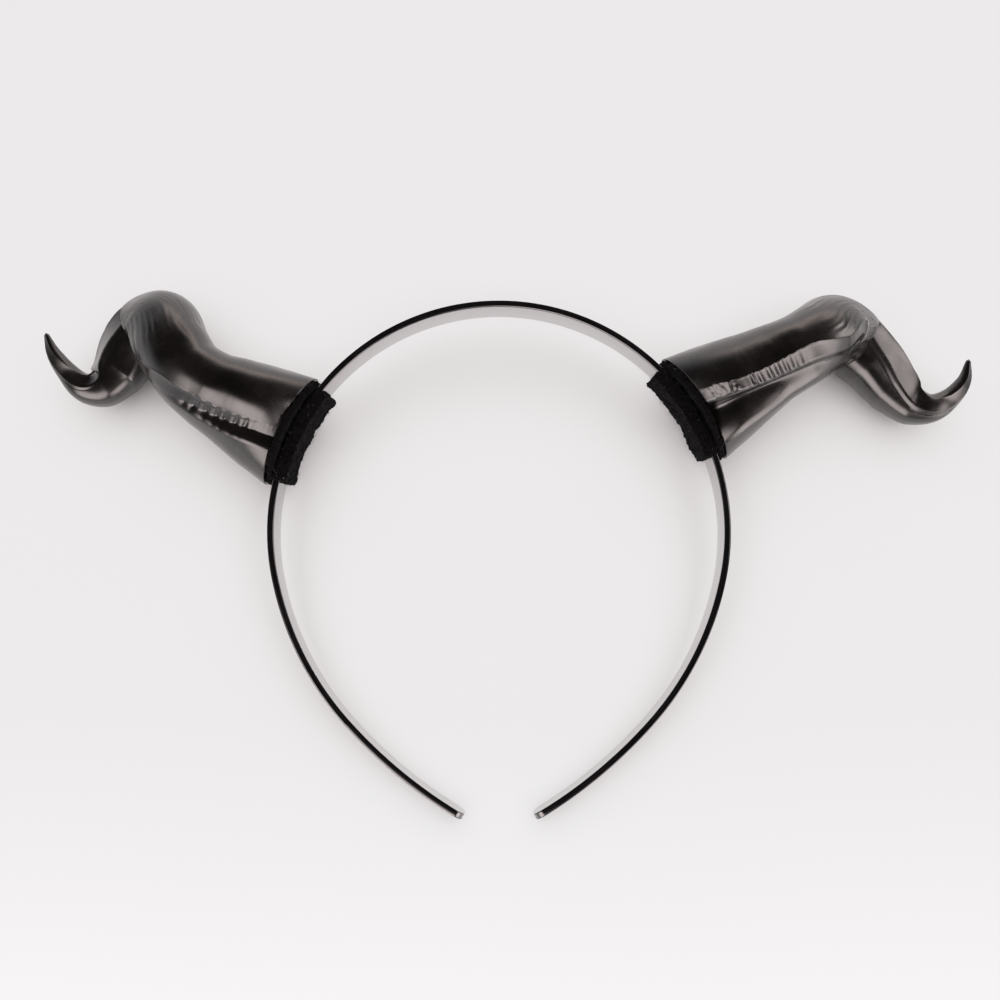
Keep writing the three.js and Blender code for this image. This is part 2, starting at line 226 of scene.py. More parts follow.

# %% [markdown]
# ## Black felt
# Felt has no weave, only matted fibres. Its colour holds painted shade and sheen: black in the hollows of the
# mat, greyer where single fibres stand up. Its pale flecks are partly lint and partly painted highlights, the
# glints of glue. A fine noise gives the mat, a second one that is cut off near its top leaves only the flecks.
# Both are drawn coarser than real fibres, which are too thin to show at this distance.

# %% Black felt
felt, tree, place = new_material("black_craft_felt")
mat = add_node(tree, "ShaderNodeTexNoise", {
    "Vector": place, "Scale": 1 / (0.5 * MM), "Detail": 6, "Roughness": 0.7}).outputs["Fac"]
tufts = add_node(tree, "ShaderNodeTexNoise", {
    "Vector": place, "Scale": 1 / (1.8 * MM), "Detail": 3}).outputs["Fac"]
threads = add_node(tree, "ShaderNodeMapping", {
    "Vector": place, "Scale": (1, 0.25, 0.5)}).outputs["Vector"]
# Pale flecks: partly lint, partly painted highlights that stand in for glints of glue.
lint_and_glue_glints = add_node(tree, "ShaderNodeTexNoise", {
    "Vector": threads, "Scale": 1 / (0.35 * MM), "Detail": 2}).outputs["Fac"]
flecks = add_node(tree, "ShaderNodeMapRange", {"Value": lint_and_glue_glints, "From Min": 0.715, "From Max": 0.78})
# Painted shade and sheen: the mat's noise, which also raises its bumps, paints the felt blacker in its hollows
# and greyer on raised fibres.
black = add_node(tree, "ShaderNodeValToRGB", {"Fac": mat},
                 [(0.4, "#010101"), (0.6, "#030202"), (0.8, "#0b0a0a")])
flecked = add_node(tree, "ShaderNodeMix", {0: flecks.outputs["Result"], 6: black.outputs["Color"],
                                           7: paint("#6f6c6a")}, data_type="RGBA")
tufted = add_node(tree, "ShaderNodeBump", {"Height": tufts, "Distance": 0.5 * MM, "Strength": 0.5})
matted = add_node(tree, "ShaderNodeBump", {"Height": mat, "Distance": 0.35 * MM, "Strength": 0.8,
                                           "Normal": tufted.outputs["Normal"]})
shader = add_node(tree, "ShaderNodeBsdfPrincipled", {
    "Base Color": flecked.outputs[2], "Roughness": 0.92, "Sheen Weight": 0.01, "Sheen Roughness": 0.5,
    "Specular IOR Level": 0.08, "Normal": matted.outputs["Normal"]})
add_node(tree, "ShaderNodeOutputMaterial", {"Surface": shader.outputs["BSDF"]})
print(felt.name, "has", len(tree.nodes), "nodes")

# %% [markdown]
# ## Headband
# The strip stands on edge and its middle line is three tangent arcs on each side, so it can be spun: a
# rounded rectangle at the top of the crown is turned about each arc's centre in small steps, and after each
# step the new ring is made a little lower, because the strip gets narrower towards its legs. Only one half
# is spun. A mirror modifier adds the other. Weighted normals keep the strip's narrow edge flat to the eye,
# so that it mirrors the dark ceiling over its whole width.

# %% Headband sizes
CROWN_WIDE, SIDE_WIDE, LEG_WIDE = 14 * MM, 11 * MM, 8 * MM
SIDE_SHARE = 0.55
LEG_END_ROUND, LEG_END_NARROW = 2.4 * MM, 0.75  # a leg narrows to sqrt(1 - 0.75), half its width
EDGE_ROUND, LEG_END_BEVEL, ROUND_STEPS = 0.4 * MM, 0.7 * MM, 5
HALVES_WELD, BAND_WELD = 0.02 * MM, 0.005 * MM
BAND_ARCS = [(CROWN_RADIUS, 101, 76), (80 * MM, 31, 26), (125 * MM, 17.8, 100)]  # radius, degrees, steps
half_length = sum(radius * math.radians(degrees) for radius, degrees, steps in BAND_ARCS)


def strip_width(travelled):
    share = travelled / half_length
    to_side = min(1, share / SIDE_SHARE)
    to_leg = max(0, (share - SIDE_SHARE) / (1 - SIDE_SHARE))
    wide = CROWN_WIDE + (SIDE_WIDE - CROWN_WIDE) * to_side ** 2 + (LEG_WIDE - SIDE_WIDE) * to_leg
    short = max(0, 1 - (half_length - travelled) / LEG_END_ROUND)
    return wide * math.sqrt(1 - LEG_END_NARROW * short ** 2)


print("half of the band is", round(half_length / MM, 1), "mm long")

# %% Headband's section
start_on(None)
bpy.ops.mesh.primitive_plane_add(size=1, location=(0, CROWN_RADIUS, 0), rotation=(0, math.pi / 2, 0))
band = bpy.context.object
band.name = "headband_strip"
bpy.ops.object.transform_apply(location=True, rotation=True, scale=True)
bpy.ops.object.mode_set(mode="EDIT")
bpy.ops.transform.resize(value=(1, BAND_THICK, CROWN_WIDE), center_override=(0, CROWN_RADIUS, 0))
bpy.ops.mesh.bevel(offset=EDGE_ROUND, segments=ROUND_STEPS, affect="VERTICES")
bpy.ops.mesh.delete(type="ONLY_FACE")
bpy.ops.mesh.select_all(action="SELECT")
print("section drawn")

# %% Spin the half band
arc_centre = Vector((0, 0, 0))
heading, travelled, last_radius = math.radians(90), 0.0, CROWN_RADIUS
for radius, degrees, steps in BAND_ARCS:
    outward = Vector((math.cos(heading), math.sin(heading), 0))
    arc_centre = arc_centre + outward * (last_radius - radius)
    last_radius = radius
    turn = math.radians(degrees) / steps
    for step in range(steps):
        bpy.ops.mesh.spin(steps=1, angle=turn, center=arc_centre, axis=(0, 0, 1))
        lower = strip_width(travelled + radius * turn) / strip_width(travelled)
        bpy.ops.transform.resize(value=(1, 1, lower), center_override=(0, 0, 0))
        travelled += radius * turn
        heading -= turn
bpy.ops.mesh.edge_face_add()
bpy.ops.mesh.bevel(offset=LEG_END_BEVEL, segments=ROUND_STEPS, affect="EDGES")
bpy.ops.object.mode_set(mode="OBJECT")
leg_end = max(band.data.vertices, key=lambda v: -v.co.y).co
print("leg ends at", [round(x / MM, 1) for x in leg_end], "mm")

# %% Mirror the half and lay the band down
mirror = band.modifiers.new("other_half", "MIRROR")
mirror.merge_threshold = HALVES_WELD
bpy.ops.object.modifier_apply(modifier=mirror.name)
band.data.transform(lying)
close_up(band, BAND_WELD)
finish_piece(band, plastic, "band_plastic", "headband", sharp=35)
flat_edges = band.modifiers.new("flat_edges", "WEIGHTED_NORMAL")
flat_edges.keep_sharp = True
bpy.ops.object.modifier_apply(modifier=flat_edges.name)

# %% [markdown]
# ## Horns
# A hollow vinyl horn is one skin, like a sock: up the inside, over the rim and along the outside to the
# tip. It could be sculpted, but its twist, ribbon-edged keel and wrinkles follow the horn's own length and
# girth. So a flat grid is added, one direction of which is girth and the other length, and each of its
# points is moved to where the moulded skin has it. The grid's long edges meet at the keel's lip and are
# welded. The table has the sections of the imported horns, in mm, from base to tip. up, front, lip and keel
# are for the right and the left horn, which were twisted and glued on a little differently by hand.

# %% The horns' sections
SECTION_NAMES = ("along", "radius", "ribbon", "crease", "square", "rows",
                 "up_right", "front_right", "lip_right", "keel_right",
                 "up_left", "front_left", "lip_left", "keel_left")
HORN_SECTIONS = [dict(zip(SECTION_NAMES, row)) for row in [
    (0, 15.6, 3.4, 6.5, 0, 16, 0, 0, 2, 0.5, 0, 0, 16, -2.9),
    (6, 14.3, 3.2, 5.4, 0, 22, -0.3, 1.5, 6, 0.9, 0.2, 1.2, 22, -2.8),
    (14.5, 12.2, 2.9, 4.0, 0, 20, -0.8, 3.5, 13, 1.1, 0.5, 2.6, 35, -2.3),
    (21.5, 10.6, 3.2, 2.6, 0, 20, -1.2, 4.8, 20, 1.2, 0.7, 3.4, 41, -1.4),
    (28.5, 9.8, 3.9, 1.7, 0, 16, -1.9, 5.2, 24.5, 1.3, 2.2, 3.4, 53, -0.4),
    (35.5, 9.8, 2.9, 1.0, 0, 32, -2.0, 3.2, 37, 1.3, 6.3, 1.4, 78, 0.5),
    (41.8, 10.0, 2.8, 0.6, 0.2, 36, -2.2, -2.8, 21, 1.3, 10.4, -4.0, 50, 1.0),
    (46.0, 9.2, 3.8, 0.4, 0.6, 36, -7, -8.6, -20, 1.2, 8.4, -8.8, -22, 1.2),
    (47.8, 8.2, 6.4, 0.3, 1.0, 20, -15.5, -8.0, -11, 1.0, 1.2, -8.3, -34, 1.0),
    (48.3, 7.0, 7.2, 0.3, 1.0, 14, -24, -6.8, -3, 0.9, -6.4, -7.0, -40, 0.9),
    (49.8, 5.4, 6.2, 0.2, 0.8, 12, -30.4, -5.0, 6, 0.7, -11.4, -5.2, -26, 0.7),
    (53.5, 3.9, 4.2, 0.1, 0.4, 10, -33.7, -3.4, 25, 0.5, -13.3, -3.6, 2, 0.5),
    (58.8, 2.8, 2.9, 0.1, 0, 10, -34, -2.3, 45, 0.4, -11.6, -2.6, 30, 0.4),
    (64, 1.9, 1.9, 0, 0, 8, -32, -1.3, 58, 0.3, -8.6, -1.6, 50, 0.3),
    (67.6, 0.7, 0.6, 0, 0, 0, -28.2, -0.5, 64, 0.1, -5, -0.8, 58, 0.1),
]]
HORNS = [
    {"side": "right", "mirror": 1, "seat": 32.2, "stretch": 1.0, "fold": 1.0, "seed": 7.3,
     "ribs": (12.5, 28.0), "rib_pitch": 2.0, "ripple": 0.5, "crumple": 0.35, "wrinkle": 0.8},
    {"side": "left", "mirror": -1, "seat": 25.7, "stretch": 1.025, "fold": 0.15, "seed": 2.1,
     "ribs": (5.5, 25.5), "rib_pitch": 2.6, "ripple": 0.03, "crumple": 0.05, "wrinkle": 0.5},
]
print(len(HORN_SECTIONS), "sections for each horn")

# %% [markdown]
# ### A smooth line through the sections
# The sections are stations on a smooth curve. This is the centripetal kind of spline, which doesn't
# overshoot where two stations lie close together, as they do at the knee.

# %% Smooth line through points
TINY = 1e-4


def smooth_line(points, t):
    last = len(points) - 1
    place = min(max(t, 0.0), 1.0) * last
    i = min(int(place), last - 1)
    w = place - i
    p1, p2 = points[i], points[i + 1]
    p0 = points[i - 1] if i else 2 * p1 - p2
    p3 = points[i + 2] if i + 2 <= last else 2 * p2 - p1
    d0, d1, d2 = (max((b - a).length ** 0.5, TINY) for a, b in ((p0, p1), (p1, p2), (p2, p3)))
    leave = ((p1 - p0) / d0 - (p2 - p0) / (d0 + d1) + (p2 - p1) / d1) * d1
    arrive = ((p2 - p1) / d1 - (p3 - p1) / (d1 + d2) + (p3 - p2) / d2) * d1
    step = p2 - p1
    square, cube = 3 * step - 2 * leave - arrive, leave + arrive - 2 * step
    return p1 + leave * w + square * w ** 2 + cube * w ** 3


def heading_of(points, t):
    after, before = smooth_line(points, min(t + TINY, 1)), smooth_line(points, max(t - TINY, 0))
    return (after - before).normalized()


# %% [markdown]
# ### Round one section
# Angles go round from the keel's lip. Before the lip lies the ribbon, about 3 mm wide, with the mould's
# seam along its upper edge. After the lip the skin drops into a crease, deepest at the base, and then comes
# out to the lower face. Past the knee the front is squared, and a wide ribbon is the flat facet there.
# Where the keel's height is below zero, as at the left horn's base, the horn was pressed flat when it was
# glued on.

# %% Round one section
CREASE_ANGLE, UPPER_BLEND, LOWER_BLEND = 14, 75, 38  # degrees
LIP_SHARE = 0.25  # the lip's height as a share of the keel's
PRESSED_LIP_SHARE = 1.15  # the same where the keel is pressed flat
SQUARE_POWER = 3  # 2 leaves a squared front round, more gives it sharper corners
LIP_COLUMNS = [0, 1.6, 4, 7, 10.5, 14]  # degrees
RIBBON_COLUMNS = (0.09, 0.3, 0.5, 0.7, 0.9)  # shares of the ribbon's width
ROUND_COLUMNS = 140
SEAM_STEP = 1.4  # degrees on each side of the seam


def ease(x):
    x = min(max(x, 0.0), 1.0)
    return x * x * (3 - 2 * x)


def girth_angles(ribbon_angle):
    seam = 360 - ribbon_angle
    span = seam - SEAM_STEP - CREASE_ANGLE
    round_face = [CREASE_ANGLE + span * (i + 1) / (ROUND_COLUMNS + 1) for i in range(ROUND_COLUMNS)]
    ribbon = [seam - SEAM_STEP, seam] + [seam + ribbon_angle * share for share in RIBBON_COLUMNS]
    return LIP_COLUMNS + round_face + ribbon


def skin_reach(angle, ribbon_angle, s):
    above = 360 - ribbon_angle - angle
    crest = s["radius"] + s["keel"]
    lip = s["radius"] + s["keel"] * (PRESSED_LIP_SHARE if s["keel"] < 0 else LIP_SHARE)
    if above <= 0:
        across, rest = math.radians(-above), math.radians(ribbon_angle + above)
        return crest * lip * math.sin(across + rest) / (lip * math.sin(rest) + crest * math.sin(across))
    if angle <= CREASE_ANGLE:
        return lip - (lip - s["radius"] + s["crease"]) * ease(angle / CREASE_ANGLE)
    rise = max(0, 1 - above / UPPER_BLEND)
    dip = max(0, 1 - (angle - CREASE_ANGLE) / LOWER_BLEND)
    front, below = (max(0, f(math.radians(angle + s["lip"]))) for f in (math.cos, math.sin))
    corner = 1
    if front * below > 0:
        corner = (front ** SQUARE_POWER + below ** SQUARE_POWER) ** (-1 / SQUARE_POWER)
    face = s["radius"] * (1 + s["square"] * (corner - 1))
    return face + s["keel"] * rise ** 2 - s["crease"] * ease(dip)


print(len(girth_angles(18)), "points round a horn")

# %% [markdown]
# ### Ribs, wrinkles and dents
# The ribbon has a row of small ribs near the base, which ripple a little into the face above it, and it is
# crumpled where it was squeezed against the felt. Where the horn bends, its dome is drawn together into
# wrinkles that fan out from the corner where the keel turns, and the ribbon itself is crimped there.
# Everywhere else a soft skin is never quite even, so a slow noise dents it. All of these are depths in mm,
# taken off the skin's reach.

# %% Ribs, wrinkles and dents
RIB_DEPTH, RIB_FADE = 0.6, 2.5
RIB_EVEN, RIB_UNEVEN, RIB_SHIFT = 0.75, 0.5, 0.25  # mean depth, its spread, and how far a rib is off its pitch
RIB_UNEVEN_A_MM, RIB_SHIFT_A_MM = 0.31, 0.5  # how quickly these vary along the horn
GROOVE_POWER = 2.2  # makes the grooves between the ribs narrower than the ribs
RIPPLE_REACH = 38  # degrees above the ribbon that the ribs ripple into
WRINKLE_DEPTH, WRINKLE_EVEN, WRINKLE_UNEVEN = 0.26, 0.55, 0.9
WRINKLED_STATIONS, WRINKLE_FADE = (4.3, 7.0), 1.0
WRINKLE_SEAM = 9  # degrees from the seam over which the wrinkles fade out
WRINKLE_START, WRINKLE_RISE = 80, 70  # degrees from the lip where they start, and over which they grow
FAN_STATION, FAN_ANGLE = 7.3, -32  # the corner that the wrinkles fan out from
FAN_CLEAR = 0.25  # stations by which they keep clear of it
FAN_PITCH = 5.6  # degrees between two wrinkles, one station away from the corner
FAN_BEND, FAN_WAVER = 3.2, 1.2  # degrees by which slow and quick noise bend them
SLOW, QUICK, STRENGTH = (1.3, 34), (3, 12), (1.1, 7)  # a noise's cells a station, and its degrees a cell
CRIMP_DEPTH, CRIMPED_STATIONS, CRIMPS_A_STATION, CRIMP_FADE = 0.14, (6.1, 7.1), 7, 0.4
CRUMPLED = (0.5, 13.0)  # stretch along the horn, in mm, where the ribbon was squeezed when it was glued on
CRUMPLE_FADE, CRUMPLES_A_MM, CRUMPLES_A_DEGREE = 3.0, 0.9, 0.22
DENT_DEPTH, DENTS_A_MM = 0.12, 0.16
SEAM_RIDGE = 0.08


def inside_window(x, window, fade):
    return ease((x - window[0]) / fade) * ease((window[1] - x) / fade)


def wave(x):
    return 0.5 - 0.5 * math.cos(math.tau * x)


def rib_depth(horn, along):
    uneven = RIB_EVEN + RIB_UNEVEN * noise.noise((along * RIB_UNEVEN_A_MM, horn["seed"], 0.0))
    shifted = along + RIB_SHIFT * noise.noise((along * RIB_SHIFT_A_MM, horn["seed"], 3.0))
    groove = wave(shifted / horn["rib_pitch"]) ** GROOVE_POWER
    return RIB_DEPTH * uneven * groove * inside_window(along, horn["ribs"], RIB_FADE)


def patchy(station, degrees, grain, seed):
    return noise.noise((station * grain[0], degrees / grain[1], seed))


def wrinkle_depth(horn, station, angle, lip, seam):
    seed = horn["seed"]
    away = (angle + lip + 180) % 360 - 180 - FAN_ANGLE
    spoke = away / (FAN_STATION - min(station, FAN_STATION - FAN_CLEAR))
    spoke += FAN_BEND * patchy(station, away, SLOW, seed) + FAN_WAVER * patchy(station, away, QUICK, seed)
    gathered = inside_window(station, WRINKLED_STATIONS, WRINKLE_FADE)
    gathered *= ease((seam - angle) / WRINKLE_SEAM) * ease((angle - WRINKLE_START) / WRINKLE_RISE)
    strong = WRINKLE_EVEN + WRINKLE_UNEVEN * patchy(station, spoke, STRENGTH, seed + 5)
    return horn["wrinkle"] * WRINKLE_DEPTH * gathered * max(0, strong) * wave(spoke / FAN_PITCH)


def relief(horn, station, along, angle, lip, ribbon_angle):
    seam = 360 - ribbon_angle
    rib = rib_depth(horn, along)
    if angle >= seam:
        crimp = CRIMP_DEPTH * wave(station * CRIMPS_A_STATION)
        crimp *= inside_window(station, CRIMPED_STATIONS, CRIMP_FADE)
        spot = (along * CRUMPLES_A_MM, angle * CRUMPLES_A_DEGREE, horn["seed"])
        crumple = horn["crumple"] * noise.noise(spot) * inside_window(along, CRUMPLED, CRUMPLE_FADE)
        ridge = SEAM_RIDGE if angle == seam else 0
        return rib * (0.5 + 0.5 * ease((angle - seam) / ribbon_angle)) + crimp + crumple - ridge
    if angle <= CREASE_ANGLE:
        return rib * (1 - ease(angle / CREASE_ANGLE))
    ripple = rib * horn["ripple"] * ease(1 - (seam - angle) / RIPPLE_REACH)
    return ripple + wrinkle_depth(horn, station, angle, lip, seam)


# %% [markdown]
# ### The grid's rows
# Each row of the grid is one ring of skin. wall is how far inside the outer skin it lies, so the first rows
# go from the end of the hollow to the rim, and the others along the outside. On the inside of a bend the
# rings are pressed together, so they are eased in there and never cross. The rim follows the curve of the
# band under it.

# %% One ring of skin
FELT_THICK, GLUE = 1.6, 0.6
SEAT_RADIUS = CROWN_RADIUS / MM + BAND_THICK / MM / 2 + FELT_THICK + GLUE
SEAT_SADDLE, SEAT_BLEND, BASE_FLATTEN = 0.75, 16, 0.82
HORN_WALL, TIP_LENGTH = 1.5, 0.6
BEND_STEP, PINCH, PINCH_EASE, LEAST_BEND = 0.035, 0.92, 6, 0.01
RELIEF_RADIUS = 6  # thinner parts of the horn, towards the tip, get less relief


def ring_of_skin(horn, station, wall, lift=0.0):
    """Points of one ring, in mm. x goes out from the seat, y up in the picture, z to the front."""
    t = station / (len(HORN_SECTIONS) - 1)
    middle, ahead = smooth_line(horn["centres"], t), heading_of(horn["centres"], t)
    facing = (Vector((0, 0, 1)) - ahead * ahead.z).normalized()
    below = ahead.cross(facing)
    size, fold = smooth_line(horn["sizes"], t), smooth_line(horn["keels"], t)
    s = {"radius": size.x, "lip": size.z,
         "keel": fold.x, "crease": fold.y * horn["fold"], "square": fold.z}
    ribbon_angle = math.degrees(size.y / size.x)
    before, after = max(0, t - BEND_STEP), min(1, t + BEND_STEP)
    way = (smooth_line(horn["centres"], after) - smooth_line(horn["centres"], before)).length
    bend = (heading_of(horn["centres"], after) - heading_of(horn["centres"], before)) / way
    squareness = max(0, 1 - middle.x / SEAT_BLEND) ** 2
    flat = 1 + (BASE_FLATTEN - 1) * squareness
    full = min(1, s["radius"] / RELIEF_RADIUS)
    ring = []
    for angle in girth_angles(ribbon_angle):
        turn = math.radians(angle + size.z)
        out = facing * math.cos(turn) * flat + below * math.sin(turn)
        room = PINCH / max(bend.dot(out), LEAST_BEND)
        free = skin_reach(angle, ribbon_angle, s)
        reach = free / (1 + (free / room) ** PINCH_EASE) ** (1 / PINCH_EASE) - wall
        if wall == 0:
            reach -= relief(horn, station, middle.x, angle, size.z, ribbon_angle) * full
        point = middle + out * reach
        square = middle.x - SEAT_SADDLE * point.y ** 2 / (2 * SEAT_RADIUS)
        point.x += (square - point.x) * squareness - lift
        if wall == 0:
            point += out * DENT_DEPTH * noise.noise(point * DENTS_A_MM) * full
        ring.append(point)
    return ring


# %% [markdown]
# ### Wrap the grid
# The rows are listed from the end of the hollow to the rim and on to the tip, and the grid gets as many.
# Each grid point knows its row and column from where it lies in the flat grid. The last steps lay the horn
# on its felt and weld the long edges. The left horn is mirrored, so its faces are turned outwards
# afterwards.

# %% Wrap the grid
HOLLOW_END, HOLLOW_STEP = 10, 0.25  # in stations
HOLLOW_ROWS = [HOLLOW_END - i * HOLLOW_STEP for i in range(int(HOLLOW_END / HOLLOW_STEP))]
RIM_ROWS = [(HORN_WALL, 0.0), (1.1, 0.25), (0.4, 0.25)]  # wall and lift, in mm
HORN_WELD = 0.002 * MM


def horn_rows(horn):
    outside = [i + k / s["rows"] for i, s in enumerate(HORN_SECTIONS) for k in range(s["rows"])]
    rows = [ring_of_skin(horn, station, HORN_WALL) for station in HOLLOW_ROWS]
    rows += [ring_of_skin(horn, 0, wall, lift) for wall, lift in RIM_ROWS]
    rows += [ring_of_skin(horn, station, 0) for station in outside + [len(HORN_SECTIONS) - 1]]
    hollow_end = sum(rows[0], Vector()) / len(rows[0])
    tip = smooth_line(horn["centres"], 1) + heading_of(horn["centres"], 1) * TIP_LENGTH
    return [[hollow_end] * len(rows[0])] + rows + [[tip] * len(rows[0])]


def wrap_horn(horn):
    name = horn["side"]
    horn["centres"] = [Vector((s["along"] * horn["stretch"], s["up_" + name], s["front_" + name]))
                       for s in HORN_SECTIONS]
    horn["sizes"] = [Vector((s["radius"], s["ribbon"], s["lip_" + name])) for s in HORN_SECTIONS]
    horn["keels"] = [Vector((s["keel_" + name], s["crease"], s["square"])) for s in HORN_SECTIONS]
    rows = [row + row[:1] for row in horn_rows(horn)]
    columns = len(rows[0])
    start_on(None)
    bpy.ops.mesh.primitive_grid_add(x_subdivisions=columns - 1, y_subdivisions=len(rows) - 1,
                                    size=1, calc_uvs=True)
    piece = bpy.context.object
    piece.name = "horn_skin_" + name
    flip = horn["mirror"]
    seat = math.radians(horn["seat"]) * flip
    seat_place = Vector((math.cos(seat) * flip, math.sin(seat) * flip, 0)) * SEAT_RADIUS
    seated = Matrix.Translation(seat_place) @ Matrix.Rotation(seat, 4, "Z") @ Matrix.Diagonal((flip, 1, 1, 1))
    for vertex in piece.data.vertices:
        column = round((vertex.co.x + 0.5) * (columns - 1))
        row = round((vertex.co.y + 0.5) * (len(rows) - 1))
        vertex.co = lying @ ((seated @ rows[row][column]) * MM)
    close_up(piece, HORN_WELD)
    return piece


for horn in HORNS:
    piece = wrap_horn(horn)
    finish_piece(piece, vinyl, "horn_vinyl", "horn_" + horn["side"], sharp=60)

# %% [markdown]
# ## Felt pads
# Each horn is glued on a sandwich of two felt pads. The CAD solids have their places and thickness, so a
# copy of each is the start. A voxel remesh gives it an even skin, and noise pushes that about: long waves
# for the way scissors wander along an edge, short ones for the matted surface.

# %% Felt pads
FELT_VOXEL, PAD_WELD = 0.34 * MM, 0.01 * MM
CUT_WANDER, CUT_LENGTH = 0.6 * MM, 4.5 * MM
MAT_ROUGH, MAT_LENGTH, MAT_SINK = 0.42 * MM, 1.1 * MM, 0.1 * MM
MAT_NOISE = (0.6, 2.0, 3)  # how fast finer detail fades, how much finer each octave is, and octaves


def felt_pad(node):
    mesh = frame["nodes"][node].data.copy()
    piece = bpy.data.objects.new(node.replace("felt", "felt_pad"), mesh)
    bpy.context.scene.collection.objects.link(piece)
    close_up(piece, PAD_WELD)
    mesh.remesh_voxel_size = FELT_VOXEL
    bpy.ops.object.voxel_remesh()
    normals = [v.normal.copy() for v in piece.data.vertices]
    for vertex, normal in zip(piece.data.vertices, normals):
        wander = noise.noise(vertex.co / CUT_LENGTH) * CUT_WANDER
        matted = noise.fractal(vertex.co / MAT_LENGTH, *MAT_NOISE) * MAT_ROUGH
        vertex.co += normal * (wander + matted - MAT_SINK)
    return piece


pads = {node: felt_pad(node) for node in frame["nodes"] if node.startswith("felt")}
for node, piece in pads.items():
    finish_piece(piece, felt, "pad_felt", node)

# %% [markdown]
# ## Felt fuzz
# Cut felt bristles with loose fibres, and these show most against the pale table and the glossy horn. Each
# fibre is a thin three-sided spike of four rings that curls at random, and the random numbers have a fixed
# seed.

# %% Felt fuzz
FIBRES = {"inner": 800, "outer": 900}
FIBRE_SIDES, FIBRE_RINGS = 3, 4
FIBRE_THICK, FIBRE_TAPER = 0.045 * MM, 3.6  # it would end in a point after 3.6 rings
FIBRE_SINK, FIBRE_STEP = 0.1 * MM, (0.18 * MM, 0.5 * MM)
FIBRE_LEAN, FIBRE_CURL = 0.9, 0.45
FIBRE_WELD = 0.0001 * MM
fibre_luck = random.Random(11)


def curl():
    return Vector([fibre_luck.uniform(-1, 1) for _ in range(3)])


def fuzz_on(pad, count):
    points, faces = [], []
    sides = range(FIBRE_SIDES)
    for vertex in fibre_luck.sample(list(pad.data.vertices), count):
        base = len(points)
        place = vertex.co - vertex.normal * FIBRE_SINK
        way = (vertex.normal + curl() * FIBRE_LEAN).normalized()
        step = fibre_luck.uniform(*FIBRE_STEP)
        for ring in range(FIBRE_RINGS):
            across = way.orthogonal().normalized() * FIBRE_THICK * (1 - ring / FIBRE_TAPER)
            points += [place + Matrix.Rotation(math.tau * k / FIBRE_SIDES, 3, way) @ across for k in sides]
            way = (way + curl() * FIBRE_CURL).normalized()
            place = place + way * step
        for ring in range(FIBRE_RINGS - 1):
            low = base + FIBRE_SIDES * ring
            high = low + FIBRE_SIDES
            pairs = [(k, (k + 1) % FIBRE_SIDES) for k in sides]
            faces += [(low + k, low + after, high + after, high + k) for k, after in pairs]
        faces += [[base + k for k in reversed(sides)], [high + k for k in sides]]
    mesh = bpy.data.meshes.new(pad.name.replace("pad", "fuzz"))
    mesh.from_pydata(points, [], faces)
    piece = bpy.data.objects.new(mesh.name, mesh)
    bpy.context.scene.collection.objects.link(piece)
    return piece


for node, pad in pads.items():
    layer = "inner" if "inner" in node else "outer"
    fuzz = fuzz_on(pad, FIBRES[layer])
    close_up(fuzz, FIBRE_WELD)
    finish_piece(fuzz, felt, "pad_felt")

# %% [markdown]
# ## Table and light
# The table is a plain pale sheet, matt with a breath of gloss. Its colour is painted a little whiter towards
# the legs: painted light, where the table lies brighter. Black gloss shows little but what it mirrors, so each
# soft box stands, unseen by the camera, where one bright face of the horns looks: two on the legs' side for
# the left horn's front and the right ribbon, one low on the right for the right horn's lower face, one on the
# right for the flat facet by the hook, a small one close by for the hook, and a warm one low at the back for
# the streaks along the tops. Their cloth fades towards its edges, which leaves no hard borders. The ceiling is
# dark, so the faces that look up are nearly black. A wide light overhead brightens the table evenly, as if it
# stood just out of every reflection.

# %% Table
TABLE_SIDE = 4  # m, so that its far edges are out of the picture and still in the light
start_on(None)
bpy.ops.mesh.primitive_plane_add(size=TABLE_SIDE)
table = bpy.context.object
table.name = "pale_table"
table_white, tree, place = new_material("pale_table_white")
drift = add_node(tree, "ShaderNodeTexNoise", {
    "Vector": place, "Scale": 1 / (400 * MM), "Detail": 2}).outputs["Fac"]
along_y = add_node(tree, "ShaderNodeSeparateXYZ", {"Vector": place}).outputs["Y"]
# Painted light: the table's colour is whiter towards the legs and greyer towards the back, where it lies
# darker.
painted_falloff_to_back = add_node(tree, "ShaderNodeMapRange", {
    "Value": along_y, "From Min": -0.16, "From Max": 0.16, "To Max": 0.9}).outputs["Result"]
shade = add_node(tree, "ShaderNodeMath", {0: drift, 1: 0.1, 2: painted_falloff_to_back}, operation="MULTIPLY_ADD")
white = add_node(tree, "ShaderNodeValToRGB", {"Fac": shade.outputs["Value"]},
                 [(0.1, "#fffdff"), (0.38, "#e3dddd"), (0.95, "#ded8d9")])
shader = add_node(tree, "ShaderNodeBsdfPrincipled", {
    "Base Color": white.outputs["Color"], "Roughness": 0.55, "Specular IOR Level": 0.3})
add_node(tree, "ShaderNodeOutputMaterial", {"Surface": shader.outputs["BSDF"]})
table.data.materials.append(table_white)
print("table is", table.dimensions.x, "m wide")

# %% Light
SOFT_EDGE = 0.3  # share of a soft box's side over which its cloth fades out
AIM = Vector((0, 0, 0.02))  # m, about the middle of the headpiece
WARM = "#fff1ee"


def fade_edges(light):
    tree = light.node_tree
    cloth = add_node(tree, "ShaderNodeNewGeometry", {}).outputs["Parametric"]
    sides = add_node(tree, "ShaderNodeSeparateXYZ", {"Vector": cloth})
    fades = []
    for axis in "XY":
        edge = add_node(tree, "ShaderNodeMath", {0: sides.outputs[axis], 1: 0.5}, operation="PINGPONG")
        fade = add_node(tree, "ShaderNodeMapRange", {"Value": edge.outputs["Value"], "From Max": SOFT_EDGE},
                        interpolation_type="SMOOTHSTEP")
        fades.append(fade.outputs["Result"])
    glow = add_node(tree, "ShaderNodeMath", {0: fades[0], 1: fades[1]}, operation="MULTIPLY")
    tree.links.new(glow.outputs["Value"], tree.nodes["Emission"].inputs["Strength"])


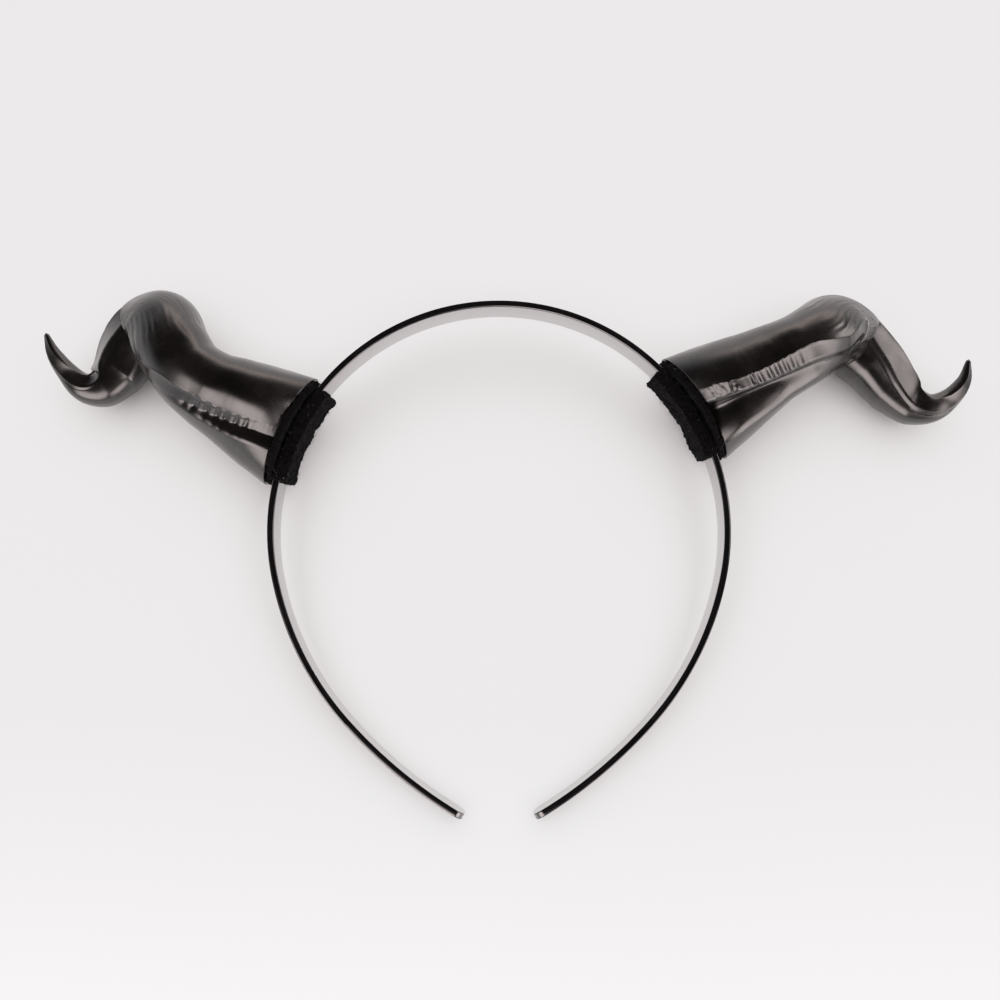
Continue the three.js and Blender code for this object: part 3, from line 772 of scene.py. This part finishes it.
def soft_box(name, place, size, brightness, tint=WARM, mirrored=True):
    """Aims a soft box at the headpiece. brightness is how it looks in a mirror, with 1 for white paper."""
    light = bpy.data.lights.new(name, "AREA")
    light.shape = "RECTANGLE"
    light.size, light.size_y = size
    light.energy = brightness * math.pi * size[0] * size[1]
    light.color = paint(tint)[:3]
    light.use_nodes = True
    box = bpy.data.objects.new(name, light)
    bpy.context.scene.collection.objects.link(box)
    box.location = place
    box.rotation_euler = (AIM - box.location).to_track_quat("-Z", "Y").to_euler()
    box.visible_glossy, box.visible_diffuse = mirrored, not mirrored
    box.visible_camera = False
    if mirrored:
        fade_edges(light)


soft_box("soft_box_overhead", (0.0, 0.3, 1.5), (3.4, 3.0), 2.65, tint="#ffffff", mirrored=False)
soft_box("soft_box_leg_left", (-0.4, -0.76, 0.76), (1.32, 1.35), 6.2)
soft_box("soft_box_leg_right", (0.68, -0.67, 0.6), (0.9, 0.76), 6.1)
soft_box("soft_box_right_floor", (1.02, -0.76, 0.25), (1.1, 0.6), 4.8)
soft_box("soft_box_right", (1.09, 0.55, 0.44), (0.62, 0.4), 6.0)
soft_box("soft_box_hook", (0.255, -0.01, 0.3), (0.14, 0.1), 9.5)
soft_box("soft_box_low_back", (0.27, 1.1, 0.2), (1.5, 0.4), 1.9, tint="#ffe6da")

# %% Walls and ceiling
world = bpy.data.worlds.new("studio")
bpy.context.scene.world = world
world.use_nodes = True
tree = world.node_tree
direction = add_node(tree, "ShaderNodeTexCoord", {}).outputs["Generated"]
height = add_node(tree, "ShaderNodeSeparateXYZ", {"Vector": direction}).outputs["Z"]
walls = add_node(tree, "ShaderNodeValToRGB", {"Fac": height},
                 [(0.0, "#ffffff"), (0.3, "#aaa8aa"), (0.5, "#343233"), (0.9, "#1f1e1f")])
tree.links.new(walls.outputs["Color"], tree.nodes["Background"].inputs["Color"])
print("walls have", len(walls.color_ramp.elements), "tones from table to ceiling")

# %% [markdown]
# ## Exposure
# The photograph is exposed for the black horns, so the table comes out nearly white and its shadows almost
# vanish. A film curve does the same: straight in the dark tones, with a flat shoulder in the bright ones.

# %% Exposure
FILM_WHITE = 1.6  # the brightest light that the curve tells apart
FILM_CURVE = [(0.0, 0.0), (0.2, 0.33), (0.42, 0.64), (0.62, 0.79), (0.8, 0.86), (1.0, 0.97)]
view = bpy.context.scene.view_settings
view.view_transform = "Standard"
view.use_curve_mapping = True
view.curve_mapping.white_level = (FILM_WHITE,) * 3
film = view.curve_mapping.curves[3]
while len(film.points) < len(FILM_CURVE):
    film.points.new(0.5, 0.5)
for point, (scene_light, print_tone) in zip(film.points, FILM_CURVE):
    point.location = (scene_light, print_tone)
view.curve_mapping.update()
print("film curve has", len(film.points), "points")
